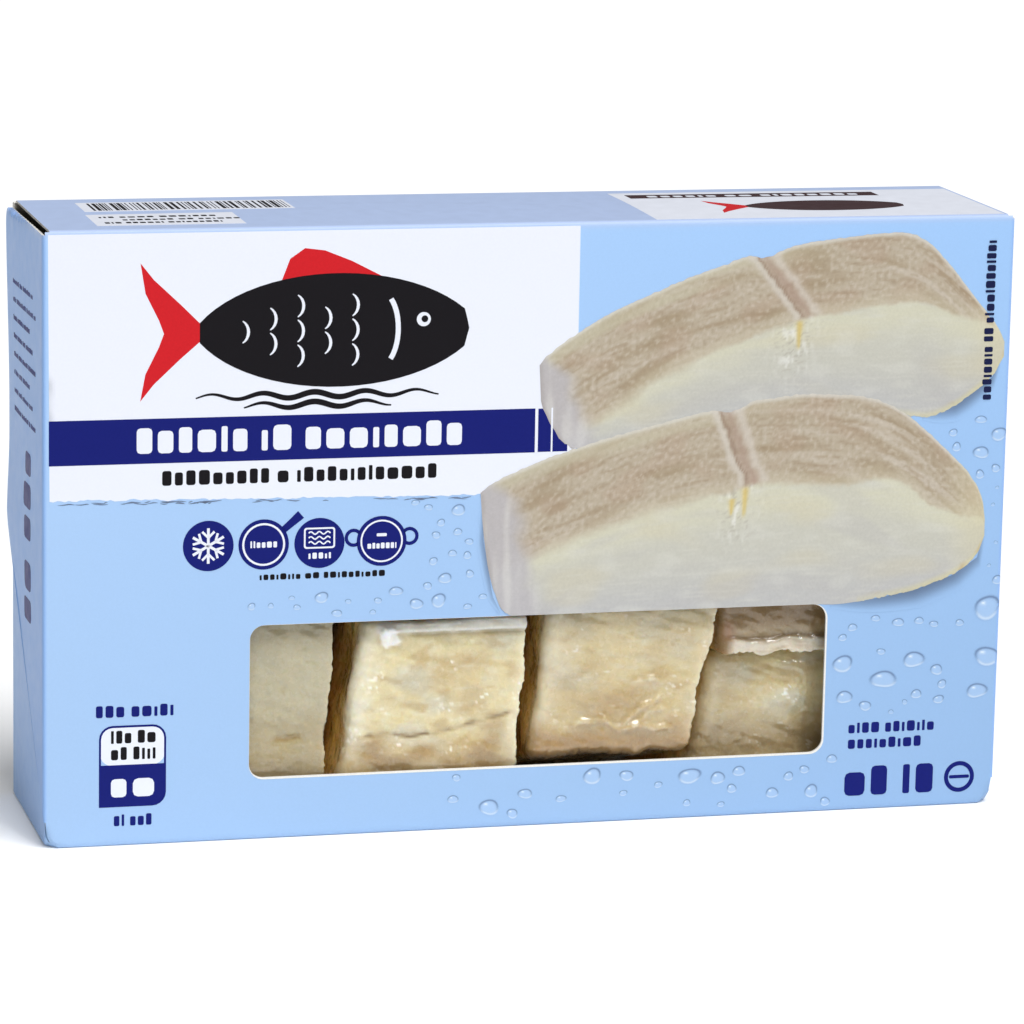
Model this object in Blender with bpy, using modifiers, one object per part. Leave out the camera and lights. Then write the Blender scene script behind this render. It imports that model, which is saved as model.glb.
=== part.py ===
"""A windowed folding carton of frozen cod loins, standing on its long narrow side.

Units are metres, +Z is up, and the front panel with the window faces -Y. The origin is on the
floor under the middle of the carton.
"""

import bmesh
import bpy
from mathutils import Matrix, Vector

MM = 0.001

# Carton
WIDTH = 290 * MM
DEPTH = 64 * MM
HEIGHT = 180 * MM
BOARD = 0.7 * MM
FOLD_RADIUS = 1.3 * MM
FOLD_SEGMENTS = 3
CRUSHED_CORNER = 5.4 * MM

# Outer end flaps, folded round from the front panel and glued over both ends
FLAP_FROM_TOP = 1.2 * MM
FLAP_FROM_BACK = 2.0 * MM
FLAP_SLANT_FRONT = 8.0 * MM
FLAP_SLANT_BACK = 88.0 * MM
FLAP_ROUNDING = 0.6 * MM

# Window in the front panel, with x from the middle of the carton
WINDOW_LEFT = -84.7 * MM
WINDOW_RIGHT = 90.0 * MM
WINDOW_BOTTOM = 18.5 * MM
WINDOW_TOP = 64.0 * MM
WINDOW_RADIUS = 4.2 * MM
WINDOW_CORNER_SEGMENTS = 6

# Cod loins
GAP = 0.3 * MM
FRONT = -28.6 * MM
BACK = 28.5 * MM
CAGE_CUTS = 2
CAGE_LEVELS = 2

SHARP_ANGLE = 0.6
BLUE_BOARD = (0.40, 0.58, 0.84)
COD_FLESH = (0.66, 0.60, 0.42)


def clear_scene():
    for old in list(bpy.data.objects):
        bpy.data.objects.remove(old, do_unlink=True)


def collection(name):
    made = bpy.data.collections.new(name)
    bpy.context.scene.collection.children.link(made)
    return made


def material(name, colour, roughness):
    made = bpy.data.materials.new(name)
    made.use_nodes = True
    shader = made.node_tree.nodes["Principled BSDF"]
    shader.inputs["Base Color"].default_value = (*colour, 1.0)
    shader.inputs["Roughness"].default_value = roughness
    shader.inputs["Metallic"].default_value = 0.0
    return made


def add_object(name, bm, into, look=None):
    """Turn a bmesh into an object of the given collection."""
    mesh = bpy.data.meshes.new(name)
    bm.to_mesh(mesh)
    bm.free()
    mesh.shade_smooth()
    mesh.set_sharp_from_angle(angle=SHARP_ANGLE)
    made = bpy.data.objects.new(name, mesh)
    into.objects.link(made)
    if look is not None:
        mesh.materials.append(look)
    return made


def box_between(low, high):
    """A bmesh box from its lowest to its highest corner."""
    low = Vector(low)
    high = Vector(high)
    bm = bmesh.new()
    bmesh.ops.create_cube(bm, size=1.0)
    bmesh.ops.transform(bm, matrix=Matrix.Diagonal((*(high - low), 1.0)), verts=bm.verts)
    bmesh.ops.translate(bm, vec=(low + high) / 2, verts=bm.verts)
    return bm


def edges_along(bm, axis):
    """The edges of a box that run along one axis."""
    return [e for e in bm.edges if abs((e.verts[0].co - e.verts[1].co).normalized()[axis]) > 0.9]


def add_cutter(name, bm, into):
    made = add_object(name, bm, into)
    made.hide_render = True
    made.display_type = "WIRE"
    return made


def combine(target, other, operation):
    """Join another object to the target, or cut it out."""
    step = target.modifiers.new(other.name, "BOOLEAN")
    step.operation = operation
    step.solver = "EXACT"
    step.object = other


def end_flap(side):
    """The board over one end, its fold rounded and its lower half cut off at a slant."""
    outside = side * WIDTH / 2
    inside = outside - side * 1.5 * BOARD
    front = FLAP_ROUNDING - DEPTH / 2
    bm = box_between(
        (min(outside, inside), front, FLAP_FROM_TOP),
        (max(outside, inside), DEPTH / 2 - FLAP_FROM_BACK, HEIGHT - FLAP_FROM_TOP),
    )
    fold = [
        e for e in edges_along(bm, 2)
        if all(v.co.y < 0 and side * v.co.x > side * (outside + inside) / 2 for v in e.verts)
    ]
    bmesh.ops.bevel(bm, geom=fold, offset=FLAP_ROUNDING, segments=2, profile=0.5, affect="EDGES")
    down = Vector((0.0, FLAP_SLANT_BACK - FLAP_SLANT_FRONT, -DEPTH))
    cut = bmesh.ops.bisect_plane(
        bm, geom=bm.verts[:] + bm.edges[:] + bm.faces[:],
        plane_co=(0.0, front, FLAP_SLANT_FRONT), plane_no=down, clear_outer=True,
    )
    rim = [e for e in cut["geom_cut"] if isinstance(e, bmesh.types.BMEdge)]
    bmesh.ops.contextual_create(bm, geom=rim)
    return bm


def window_plug():
    """What the window takes out of the front panel."""
    front = -DEPTH / 2
    bm = box_between(
        (WINDOW_LEFT, front - BOARD, WINDOW_BOTTOM), (WINDOW_RIGHT, front + 2 * BOARD, WINDOW_TOP)
    )
    bmesh.ops.bevel(
        bm, geom=edges_along(bm, 1), offset=WINDOW_RADIUS, segments=WINDOW_CORNER_SEGMENTS,
        profile=0.5, affect="EDGES",
    )
    return bm


def add_carton(parts, cutters):
    """The folded board, with its two lower front corners crushed in and the window cut out."""
    half_width = WIDTH / 2 - BOARD
    bm = box_between((-half_width, -DEPTH / 2, 0.0), (half_width, DEPTH / 2, HEIGHT))
    low_front = [v for v in bm.verts if v.co.y < 0 and v.co.z < HEIGHT / 2]
    bmesh.ops.bevel(bm, geom=low_front, offset=CRUSHED_CORNER, segments=1, affect="VERTICES")
    carton = add_object("carton", bm, parts, material("blue_board", BLUE_BOARD, 0.45))

    folds = carton.modifiers.new("folds", "BEVEL")
    folds.width = FOLD_RADIUS
    folds.segments = FOLD_SEGMENTS
    folds.limit_method = "ANGLE"

    shell = carton.modifiers.new("board", "SOLIDIFY")
    shell.thickness = BOARD
    shell.offset = -1.0
    shell.use_even_offset = True

    for name, side in (("left_flap", -1), ("right_flap", 1)):
        combine(carton, add_cutter(name, end_flap(side), cutters), "UNION")
    combine(carton, add_cutter("window_plug", window_plug(), cutters), "DIFFERENCE")


def mix(a, b, share):
    return a + (b - a) * share


def add_loin(name, parts, look, left, right, bottom, top, front=(0.0, 0.0), narrowing=(0.0, 0.0)):
    """One cut loin as a rounded block, in millimetres.

    left and right are the x of the front face's sides at its bottom and its top, bottom is the z
    of the underside at the front and at the back, top is the z of its top, front is how far its
    face stands back from the others at the bottom and at the top, and narrowing is how much its
    left and right sides come in at the back.
    """
    bm = bmesh.new()
    bmesh.ops.create_cube(bm, size=1.0)
    bmesh.ops.subdivide_edges(bm, edges=bm.edges[:], cuts=CAGE_CUTS, use_grid_fill=True)
    for vert in bm.verts:
        across, back, up = (c + 0.5 for c in vert.co)
        x_left = mix(*left, up) + narrowing[0] * back
        x_right = mix(*right, up) - narrowing[1] * back
        y_front = FRONT / MM + mix(*front, up)
        z_bottom = mix(*bottom, back)
        vert.co = MM * Vector(
            (mix(x_left, x_right, across), mix(y_front, BACK / MM, back), mix(z_bottom, top, up))
        )
    loin = add_object(name, bm, parts, look)
    soften = loin.modifiers.new("soften", "SUBSURF")
    soften.levels = CAGE_LEVELS
    soften.render_levels = CAGE_LEVELS


def add_loins(parts):
    """Four loins stand in a row on the carton's floor, and one lies on the right-hand one."""
    look = material("cod_flesh", COD_FLESH, 0.4)
    floor = (BOARD + GAP) / MM
    row = {
        "cod_1": {
            "left": (-113, -111), "right": (-62.8, -58.0), "bottom": (floor, floor), "top": 66,
        },
        "cod_2": {
            "left": (-59.6, -49.8), "right": (-5.0, -0.6), "bottom": (floor, floor), "top": 62,
            "narrowing": (-1.0, 2.0),
        },
        "cod_3": {
            "left": (1.0, 6.2), "right": (49.0, 58.6), "bottom": (20.5, floor), "top": 66.5,
            "narrowing": (-1.5, 12.0),
        },
        "cod_4": {
            "left": (49.6, 58.6), "right": (103.0, 104.0), "bottom": (floor, floor), "top": 47.4,
            "front": (6.0, 8.0), "narrowing": (-8.0, 1.0),
        },
        "cod_5": {
            "left": (59.6, 60.5), "right": (105.0, 103.0), "bottom": (47.7, 47.7), "top": 92,
            "front": (2.5, 6.0), "narrowing": (-7.0, 1.0),
        },
    }
    for name, sizes in row.items():
        add_loin(name, parts, look, **sizes)


clear_scene()
PARTS = collection("windowed_cod_carton")
CUTTERS = collection("cutters")
add_carton(PARTS, CUTTERS)
add_loins(PARTS)
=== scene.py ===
"""The looks of a windowed carton of frozen cod loins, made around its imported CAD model.

Helpers and sizes are in millimetres. A panel's own coordinates are a, from its left edge, and b,
from its lower edge, as a reader of that panel sees it.
"""

import math
import random

import bpy
import numpy as np
from mathutils import Matrix, Vector, noise
from mathutils.geometry import delaunay_2d_cdt


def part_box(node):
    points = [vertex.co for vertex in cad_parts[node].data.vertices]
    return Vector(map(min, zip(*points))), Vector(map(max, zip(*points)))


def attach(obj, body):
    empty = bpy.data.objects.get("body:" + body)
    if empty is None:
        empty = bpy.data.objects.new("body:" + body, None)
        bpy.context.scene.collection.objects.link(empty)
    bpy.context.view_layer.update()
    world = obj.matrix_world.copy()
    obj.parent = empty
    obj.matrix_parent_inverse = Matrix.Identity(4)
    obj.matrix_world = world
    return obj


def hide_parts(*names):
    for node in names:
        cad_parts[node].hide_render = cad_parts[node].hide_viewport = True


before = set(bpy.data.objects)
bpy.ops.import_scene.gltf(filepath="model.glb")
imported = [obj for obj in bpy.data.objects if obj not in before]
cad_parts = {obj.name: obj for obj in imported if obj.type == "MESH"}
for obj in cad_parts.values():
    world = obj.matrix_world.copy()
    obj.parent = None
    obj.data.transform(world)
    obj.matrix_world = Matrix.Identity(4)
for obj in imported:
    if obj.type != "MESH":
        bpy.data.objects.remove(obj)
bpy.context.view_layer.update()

MM = 0.001
LOW, HIGH = (np.array(corner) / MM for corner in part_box("carton"))
WIDTH, DEPTH, HEIGHT = HIGH - LOW
HALF = WIDTH / 2

# Board
BOARD = 0.7
FOLD = 1.3
END_FOLD = 0.8
END_STEP = 0.8
INNER_END = HALF - END_STEP
BULGE = 0.35
CRUSH = 5.4
FLAP_TOP = HEIGHT - 1.2
FLAP_BACK = 62.0
FLAP_LOW_FRONT = 8.0
FLAP_LOW_BACK = 86.0
WINDOW = (60.3, 18.5, 235.0, 64.0)
WINDOW_RADIUS = 4.2
BOARD_STEP = 4.0
NEAR_EDGES = np.array([0.0, 0.35, 0.7, 1.3, 2.2, 3.6])

# The white field and the navy band on the front panel
FIELD_LEFT = 2.0
FIELD_RIGHT = 157.0
FIELD_BOTTOM = 102.4
FIELD_SLOPE = 2.2 / 155.0
BAND = (112.6, 125.6)
HEADING_WORDS = (6, 2, 8)
ICON_RADIUS = 7.4
ICONS = ((47.9, 88.0, "snow"), (64.1, 87.9, "pan"), (80.5, 87.8, "oven"), (98.9, 87.8, "pot"))
FISH_PLACE = (27, 150, 97)
SMALL_FISH_PLACE = (203, 24, 60)

# Heights of the print above the board
UNDER = -0.05
LIFT = 0.03

# Colours, as the levels of red, green and blue that the lit surface shows
WHITE = (231, 235, 246)
NAVY = (22, 30, 112)
BLACK = (24, 22, 26)
RED = (205, 32, 40)
INNER_BOARD = (178, 172, 162)
CUT_EDGE = (214, 212, 208)

# Camera, with angles in degrees and distances as shares of the carton's width
CAMERA_ANGLES = (-14.5, 11.6, 1.1)
CAMERA_DISTANCE = 4.81
CAMERA_ASIDE = -0.0247
CAMERA_RAISED = 0.0173
CAMERA_LENS = 168.2
CAMERA_SENSOR = 36.0
FLOOR_REACH = 12.0


# ---- Helpers

def mix(a, b, share):
    return a + (b - a) * share


def ramp(low, high, value):
    """A smooth step from 0 at low to 1 at high."""
    share = np.clip((value - low) / (high - low), 0.0, 1.0)
    return share * share * (3.0 - 2.0 * share)


def blend(colours, other, share):
    """Mix an array of colours, or one colour, with another by a share for each point."""
    return mix(np.asarray(colours, float), np.asarray(other, float), np.asarray(share)[..., None])


def layered(colours, *layers):
    """Colours with others laid over them in turn, each by its share."""
    for colour, share in layers:
        colours = blend(colours, colour, share)
    return colours


def lumps(points, size, seed=0.0):
    """Smooth noise of about -1 to 1 at each point, whose lumps have the given size."""
    scaled = np.asarray(points, float) / np.asarray(size, float) + seed
    return np.array([noise.noise(p) for p in scaled.tolist()]) * 1.6


def flat_lumps(a, b, size, seed=0.0):
    """The same noise over two coordinates."""
    return lumps(np.stack([a, b, np.zeros_like(a)], axis=1), (*size, 1.0), seed)


def linear(levels):
    """Scene colours from levels of 0 to 255."""
    share = np.clip(np.asarray(levels, float), 0, 255) / 255
    return np.where(share <= 0.04045, share / 12.92, ((share + 0.055) / 1.055) ** 2.4)


def make_object(name, points, faces, materials, colours=None):
    """A mesh object from points in millimetres, smooth, riding on the frame's only body."""
    mesh = bpy.data.meshes.new(name)
    mesh.from_pydata((np.asarray(points) * MM).tolist(), [], [list(map(int, f)) for f in faces])
    if colours is not None:
        layer = mesh.color_attributes.new("tint", "FLOAT_COLOR", "POINT")
        rgba = np.ones((len(points), 4))
        rgba[:, :3] = linear(colours)
        layer.data.foreach_set("color", rgba.ravel())
    for material in materials:
        mesh.materials.append(material)
    mesh.shade_smooth()
    mesh.validate()
    made = bpy.data.objects.new(name, mesh)
    bpy.context.scene.collection.objects.link(made)
    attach(made, "root")
    return made


# ---- Materials

class Nodes:
    """A new material's node tree, with its Principled shader."""

    def __init__(self, name):
        self.material = bpy.data.materials.new(name)
        self.material.use_nodes = True
        self.tree = self.material.node_tree
        self.shader = self.tree.nodes["Principled BSDF"]
        self.place = self.add("ShaderNodeTexCoord").outputs["Object"]

    def add(self, kind, **settings):
        node = self.tree.nodes.new(kind)
        for key, value in settings.items():
            setattr(node, key, value)
        return node

    def link(self, source, target):
        self.tree.links.new(source, target)

    def noise(self, size, detail=3.0, roughness=0.55):
        """The fraction of a noise whose lumps have the given size in millimetres."""
        node = self.add("ShaderNodeTexNoise")
        node.inputs["Scale"].default_value = 1.0 / (size * MM)
        node.inputs["Detail"].default_value = detail
        node.inputs["Roughness"].default_value = roughness
        self.link(self.place, node.inputs["Vector"])
        return node.outputs["Fac"]

    def ranged(self, value, low, high, to_low, to_high):
        node = self.add("ShaderNodeMapRange")
        for key, number in (("From Min", low), ("From Max", high),
                            ("To Min", to_low), ("To Max", to_high)):
            node.inputs[key].default_value = number
        self.link(value, node.inputs["Value"])
        return node.outputs["Result"]

    def colour(self, source, variation, strength):
        """Base colour from a colour or an attribute, made lighter and darker by a noise."""
        scale = self.add("ShaderNodeVectorMath", operation="SCALE")
        if isinstance(source, str):
            attribute = self.add("ShaderNodeAttribute", attribute_name=source)
            self.link(attribute.outputs["Color"], scale.inputs[0])
        else:
            scale.inputs[0].default_value = linear(source)
        self.link(self.ranged(variation, 0.3, 0.7, 1 - strength, 1 + strength),
                  scale.inputs["Scale"])
        self.link(scale.outputs["Vector"], self.shader.inputs["Base Color"])

    def bump(self, *heights):
        """Bumps stacked on each other, each a height field and its depth in millimetres."""
        normal = None
        for field, depth in heights:
            node = self.add("ShaderNodeBump")
            node.inputs["Distance"].default_value = depth * MM
            node.inputs["Strength"].default_value = 1.0
            self.link(field, node.inputs["Height"])
            if normal is not None:
                self.link(normal, node.inputs["Normal"])
            normal = node.outputs["Normal"]
        self.link(normal, self.shader.inputs["Normal"])

    def set(self, **values):
        for key, value in values.items():
            self.shader.inputs[key.replace("_", " ")].default_value = value


def coated_board(name, source, roughness=0.38, strength=0.012, gloss=0.14):
    """Printed and varnished board: faint print mottling over slightly wavy fibre."""
    nodes = Nodes(name)
    nodes.colour(source, nodes.noise(0.7, 4.0), strength)
    nodes.bump((nodes.noise(9.0, 2.0), 0.12), (nodes.noise(0.8, 3.0), 0.012))
    nodes.link(nodes.ranged(nodes.noise(5.0), 0.3, 0.7, roughness - 0.05, roughness + 0.06),
               nodes.shader.inputs["Roughness"])
    nodes.set(Specular_IOR_Level=gloss)
    return nodes.material


def raw_board(name, levels, size, strength):
    """Uncoated board, mottled with fibres."""
    nodes = Nodes(name)
    nodes.colour(levels, nodes.noise(size, 5.0, 0.7), strength)
    nodes.bump((nodes.noise(0.4, 4.0, 0.7), 0.05))
    nodes.set(Roughness=0.88)
    return nodes.material


# ---- Board form

def on_board(points, lift=0.0, end=HALF):
    """Points of a sharp box moved to the board's folded and slightly bulging surface."""
    points = np.asarray(points, float)
    radii = np.array([END_FOLD, FOLD, FOLD])
    low = np.array([-end, LOW[1], LOW[2]]) + radii
    high = np.array([end, HIGH[1], HIGH[2]]) - radii
    core = np.clip(points, low, high)
    out = (points - core) / radii
    out /= np.maximum(np.linalg.norm(out, axis=1, keepdims=True), 1e-9)
    placed = core + out * (radii + lift)
    wave = np.sin(np.pi * np.clip((points - LOW) / (HIGH - LOW), 0, 1))
    swell = np.stack([wave[:, 1] * wave[:, 2], wave[:, 0] * wave[:, 2], wave[:, 0] * wave[:, 1]], 1)
    placed += BULGE * out * swell * np.where(out[:, 2:] < 0, 0.0, 1.0)
    if end == HALF:
        placed[:, 0] += np.sign(out[:, 0]) * (np.abs(out[:, 0]) > 0.999) * flap_lean(points)
    return crushed(placed)


def flap_lean(points):
    """How far an outer end flap stands off: most at its top and its lower tip, towards its back."""
    from_fold, up = points[:, 1] - LOW[1], points[:, 2] - LOW[2]
    tip = 1 - ramp(0, 26, np.abs(up - FLAP_LOW_BACK))
    return ramp(8, FLAP_BACK, from_fold) * (0.25 + 0.9 * ramp(120, FLAP_TOP, up) + 0.8 * tip)


def crushed(points):
    """Push in the two lower corners of the front panel, with a little crumpling."""
    for side in (-1.0, 1.0):
        normal = np.array([side, -1.0, -1.0]) / math.sqrt(3)
        corner = np.array([side * HALF, LOW[1], LOW[2]])
        beyond = (points - corner) @ normal + CRUSH / math.sqrt(3)
        near = beyond > -0.4
        if near.any():
            crumple = np.zeros(len(points))
            crumple[near] = 0.22 * lumps(points[near], 1.6, 3.1) * ramp(-0.4, 0.6, beyond[near])
            points = points - (np.maximum(beyond, 0) + np.abs(crumple))[:, None] * normal
    return points


def front(a, b):
    return np.stack([a - HALF, np.full_like(a, LOW[1]), b + LOW[2]], axis=1)


def back(a, b):
    return np.stack([HALF - a, np.full_like(a, HIGH[1]), b + LOW[2]], axis=1)


def top(a, b):
    return np.stack([a - HALF, b + LOW[1], np.full_like(a, HIGH[2])], axis=1)


def under(a, b):
    return np.stack([a - HALF, HIGH[1] - b, np.full_like(a, LOW[2])], axis=1)


def left_end(a, b):
    return np.stack([np.full_like(a, -HALF), HIGH[1] - a, b + LOW[2]], axis=1)


def right_end(a, b):
    return np.stack([np.full_like(a, HALF), a + LOW[1], b + LOW[2]], axis=1)


def board_blue_and_painted_light(points):
    """The board's printed blue with painted light and shade: lighter at the upper left and deeper at the
    lower right, partly print and partly a painted light falloff, with painted shade on the end panels and
    a greyer painted sheen on the top.
    """
    x, y, z = ((points - LOW) / (HIGH - LOW)).T
    # Printed blue with a painted light falloff: lighter at the upper left, deeper at the lower right
    low = blend((164, 196, 234), (148, 182, 222), x)
    high = blend((172, 205, 245), (160, 198, 243), x)
    colour = low + (high - low) * z[:, None]
    # Painted shade: the end panels get a deeper blue in place of their lying in shade
    colour = blend(colour, (142, 180, 236), 0.9 * ramp(0.495, 0.499, np.abs(x - 0.5)))
    # Painted sheen: the top panel gets a greyer blue in place of the reflection it shows at a grazing
    # view
    return blend(colour, (180, 198, 233), ramp(0.985, 1.0, z))


# ---- Flat shapes

def inside(points, loops):
    """Whether each flat point lies inside an odd number of the loops."""
    a, b = points[:, 0], points[:, 1]
    result = np.zeros(len(points), bool)
    for loop in loops:
        start = np.asarray(loop, float)
        for (a0, b0), (a1, b1) in zip(start, np.roll(start, -1, axis=0)):
            if b0 == b1:
                continue
            crosses = (b0 > b) != (b1 > b)
            result ^= crosses & (a < a0 + (b - b0) * (a1 - a0) / (b1 - b0))
    return result


def edge_distance(points, loops):
    """How far each flat point is from the nearest edge of the loops."""
    nearest = np.full(len(points), np.inf)
    for loop in loops:
        start = np.asarray(loop, float)
        for p, q in zip(start, np.roll(start, -1, axis=0)):
            along = q - p
            share = np.clip((points - p) @ along / max(along @ along, 1e-12), 0, 1)
            nearest = np.minimum(nearest, np.linalg.norm(points - p - share[:, None] * along, axis=1))
    return nearest


def triangulate(loops, inner=()):
    """The points and triangles of a flat region, with further points where given."""
    points, edges = [], []
    for loop in loops:
        start = len(points)
        points += [Vector((float(p[0]), float(p[1]))) for p in loop]
        edges += [(start + i, start + (i + 1) % len(loop)) for i in range(len(loop))]
    points += [Vector((float(p[0]), float(p[1]))) for p in inner]
    flat, _, faces, *_ = delaunay_2d_cdt(points, edges, [], 0, 1e-4)
    flat = np.array([tuple(p) for p in flat])
    faces = np.array([face for face in faces if len(face) == 3])
    faces = faces[inside(flat[faces].mean(axis=1), loops)]
    p, q, r = (flat[faces[:, i]] for i in range(3))
    turn = (q[:, 0] - p[:, 0]) * (r[:, 1] - p[:, 1]) - (q[:, 1] - p[:, 1]) * (r[:, 0] - p[:, 0])
    faces = np.where((turn > 0)[:, None], faces, faces[:, ::-1])[np.abs(turn) > 1e-7]
    used, faces = np.unique(faces, return_inverse=True)
    return flat[used], faces.reshape(-1, 3)


def lattice(low, high, step):
    """Rows across a panel, closer together at its two edges."""
    count = max(1, round((high - low - 2 * NEAR_EDGES[-1]) / step))
    middle = np.linspace(low + NEAR_EDGES[-1], high - NEAR_EDGES[-1], count + 1)
    return np.concatenate([low + NEAR_EDGES[:-1], middle, high - NEAR_EDGES[:-1][::-1]])


def spread(loops, spacing, margin):
    """Grid points inside the loops, at least a margin away from their edges."""
    stacked = np.concatenate([np.asarray(loop, float) for loop in loops])
    low, high = stacked.min(axis=0), stacked.max(axis=0)
    columns = np.arange(low[0] + spacing / 2, high[0], spacing)
    rows = np.arange(low[1] + spacing / 2, high[1], spacing)
    grid = np.stack(np.meshgrid(columns, rows), axis=-1).reshape(-1, 2)
    if not len(grid):
        return grid
    return grid[inside(grid, loops) & (edge_distance(grid, loops) > margin)]


def pieces(p, q, step):
    """Points from p up to but not including q, no further apart than the step."""
    count = max(1, math.ceil(math.dist(p, q) / step))
    return [(mix(p[0], q[0], i / count), mix(p[1], q[1], i / count)) for i in range(count)]


def divided(loop, step):
    """A loop whose long edges are cut into pieces no longer than the step."""
    return [point for p, q in zip(loop, loop[1:] + loop[:1]) for point in pieces(p, q, step)]


def arc(centre, radius, start, end, steps=12):
    """Points on an arc, with angles in degrees; the radius may be one for each axis."""
    radii = (radius, radius) if np.isscalar(radius) else radius
    angles = np.radians(np.linspace(start, end, steps + 1))
    return [(centre[0] + radii[0] * math.cos(t), centre[1] + radii[1] * math.sin(t)) for t in angles]


def disc(centre, radius, steps=32):
    return arc(centre, radius, 0, 360, steps)[:-1]


def rectangle(a0, b0, a1, b1, radius=0.0, steps=5):
    """A rectangle's loop, with its corners rounded if a radius is given."""
    if radius <= 0:
        return [(a0, b0), (a1, b0), (a1, b1), (a0, b1)]
    loop = []
    for centre, start in (((a1 - radius, b0 + radius), -90), ((a1 - radius, b1 - radius), 0),
                          ((a0 + radius, b1 - radius), 90), ((a0 + radius, b0 + radius), 180)):
        loop += arc(centre, radius, start, start + 90, steps)
    return loop


def stroke(points, width):
    """The loop round a line of the given width, with round ends; the width may change."""
    points = np.asarray(points, float)
    widths = np.broadcast_to(np.asarray(width, float), len(points))
    along = np.gradient(points, axis=0)
    along /= np.linalg.norm(along, axis=1, keepdims=True)
    across = np.stack([-along[:, 1], along[:, 0]], axis=1) * widths[:, None] / 2
    return [tuple(p) for p in points + across] + [tuple(p) for p in (points - across)[::-1]]


def turned(loop, centre, degrees):
    """A loop turned about a point."""
    c, s = math.cos(math.radians(degrees)), math.sin(math.radians(degrees))
    return [(centre[0] + c * (a - centre[0]) - s * (b - centre[1]),
             centre[1] + s * (a - centre[0]) + c * (b - centre[1])) for a, b in loop]


class Ink:
    """Thin closed shapes of one ink on the board's panels, gathered in one mesh."""

    def __init__(self, name, level, material):
        self.name = name
        self.lift = level * LIFT
        self.material = material
        self.points = []
        self.faces = []
        self.count = 0

    def add(self, panel, loops, spacing=0.0):
        """One shape; loops inside its outline are holes. A wide one is given a spacing."""
        if spacing:
            loops = [divided(list(loop), spacing) for loop in loops]
            inner = spread(loops, spacing, spacing * 0.3)
        else:
            inner = ()
        flat, faces = triangulate(loops, inner)
        base = panel(flat[:, 0], flat[:, 1])
        number = len(flat)
        sides = self.sides(faces, number)
        self.points += [on_board(base, self.lift), on_board(base, UNDER)]
        self.faces += [faces + self.count, faces[:, ::-1] + number + self.count]
        self.faces += [sides + self.count]
        self.count += 2 * number

    @staticmethod
    def sides(faces, number):
        """The walls along the edges that only one triangle has."""
        edges = np.concatenate([faces[:, [0, 1]], faces[:, [1, 2]], faces[:, [2, 0]]])
        known = {tuple(edge) for edge in edges.tolist()}
        open_edges = np.array([edge for edge in known if edge[::-1] not in known])
        open_edges = open_edges[np.lexsort(open_edges.T)]
        p, q = open_edges.T
        return np.stack([q, p, p + number, q + number], axis=1)

    def finish(self):
        faces = [face for group in self.faces for face in group.tolist()]
        made = make_object(self.name, np.concatenate(self.points), faces, [self.material])
        made.data.set_sharp_from_angle(angle=0.9)


# ---- Carton

def window_loop():
    return rectangle(*WINDOW, WINDOW_RADIUS, 8)


def sheet(panel, loops, columns, rows, end=HALF):
    """Part of the carton's board as placed points and outward faces."""
    grid = np.stack(np.meshgrid(columns, rows), axis=-1).reshape(-1, 2)
    holes = loops[1:]
    if holes:
        grid = grid[~inside(grid, holes) & (edge_distance(grid, holes) > 0.8)]
    flat, faces = triangulate(loops, grid)
    base = panel(flat[:, 0], flat[:, 1])
    if abs(end - HALF) > 1e-6:
        base[:, 0] = np.clip(base[:, 0], -end, end)
    return on_board(base, 0.0, end), faces


def end_flap(across_end):
    """The loop of an outer end flap, from its fold at the front to its rounded back edge."""
    tip = FLAP_LOW_FRONT + (FLAP_LOW_BACK - FLAP_LOW_FRONT) * (FLAP_BACK - 2) / FLAP_BACK
    flap = [(0, FLAP_LOW_FRONT), (FLAP_BACK - 2, tip), (FLAP_BACK, tip + 4),
            (FLAP_BACK, FLAP_TOP - 5)]
    flap += arc((FLAP_BACK - 5, FLAP_TOP - 5), 5, 0, 90, 6)[1:] + [(0, FLAP_TOP)]
    loop = []
    for p, q in zip(flap, flap[1:] + flap[:1]):
        on_fold = p[0] <= 0 or q[0] <= 0
        upright = abs(p[1] - q[1]) >= 1
        loop += [p] if on_fold and upright else pieces(p, q, 1.5)
    return [(float(across_end(distance)), float(up)) for distance, up in loop]


def sheets():
    """Every panel of the carton as placed points and outward faces."""
    columns = lattice(END_STEP, WIDTH - END_STEP, BOARD_STEP)
    rows = np.unique(np.concatenate([lattice(0, HEIGHT, BOARD_STEP), [FLAP_LOW_FRONT, FLAP_TOP]]))
    deep = lattice(0, DEPTH, BOARD_STEP)

    left, right = END_STEP, WIDTH - END_STEP
    outline = [(left, 0), (right, 0), (right, FLAP_LOW_FRONT), (WIDTH, FLAP_LOW_FRONT),
               (WIDTH, FLAP_TOP), (right, FLAP_TOP), (right, HEIGHT), (left, HEIGHT),
               (left, FLAP_TOP), (0, FLAP_TOP), (0, FLAP_LOW_FRONT), (left, FLAP_LOW_FRONT)]
    folds = [0, 0.25, 0.5, WIDTH - 0.5, WIDTH - 0.25, WIDTH]
    across = np.unique(np.concatenate([columns, folds]))
    yield sheet(front, [outline, window_loop()], across, rows)

    inner = columns[(columns > 2 * END_STEP) & (columns < WIDTH - 2 * END_STEP)]
    yield sheet(top, [rectangle(inner[0], 0, inner[-1], DEPTH)], inner, deep)
    edge = WIDTH - 2 * (HALF - INNER_END)
    for panel, up in ((back, rows), (under, deep)):
        whole = rectangle(END_STEP, 0, END_STEP + edge, up[-1])
        yield sheet(panel, [whole], columns, up, INNER_END)

    def from_back(distance):
        return DEPTH - distance

    def from_front(distance):
        return distance

    for panel, far, across_end in ((left_end, 0.0, from_back), (right_end, DEPTH, from_front)):
        a0, a1 = sorted((across_end(0.9), far))
        end_top = HEIGHT - 2.6
        whole = rectangle(a0, 0, a1, end_top)
        yield sheet(panel, [whole], deep, rows[rows < end_top], INNER_END)
        yield sheet(panel, [end_flap(across_end)], deep, rows)


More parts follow.
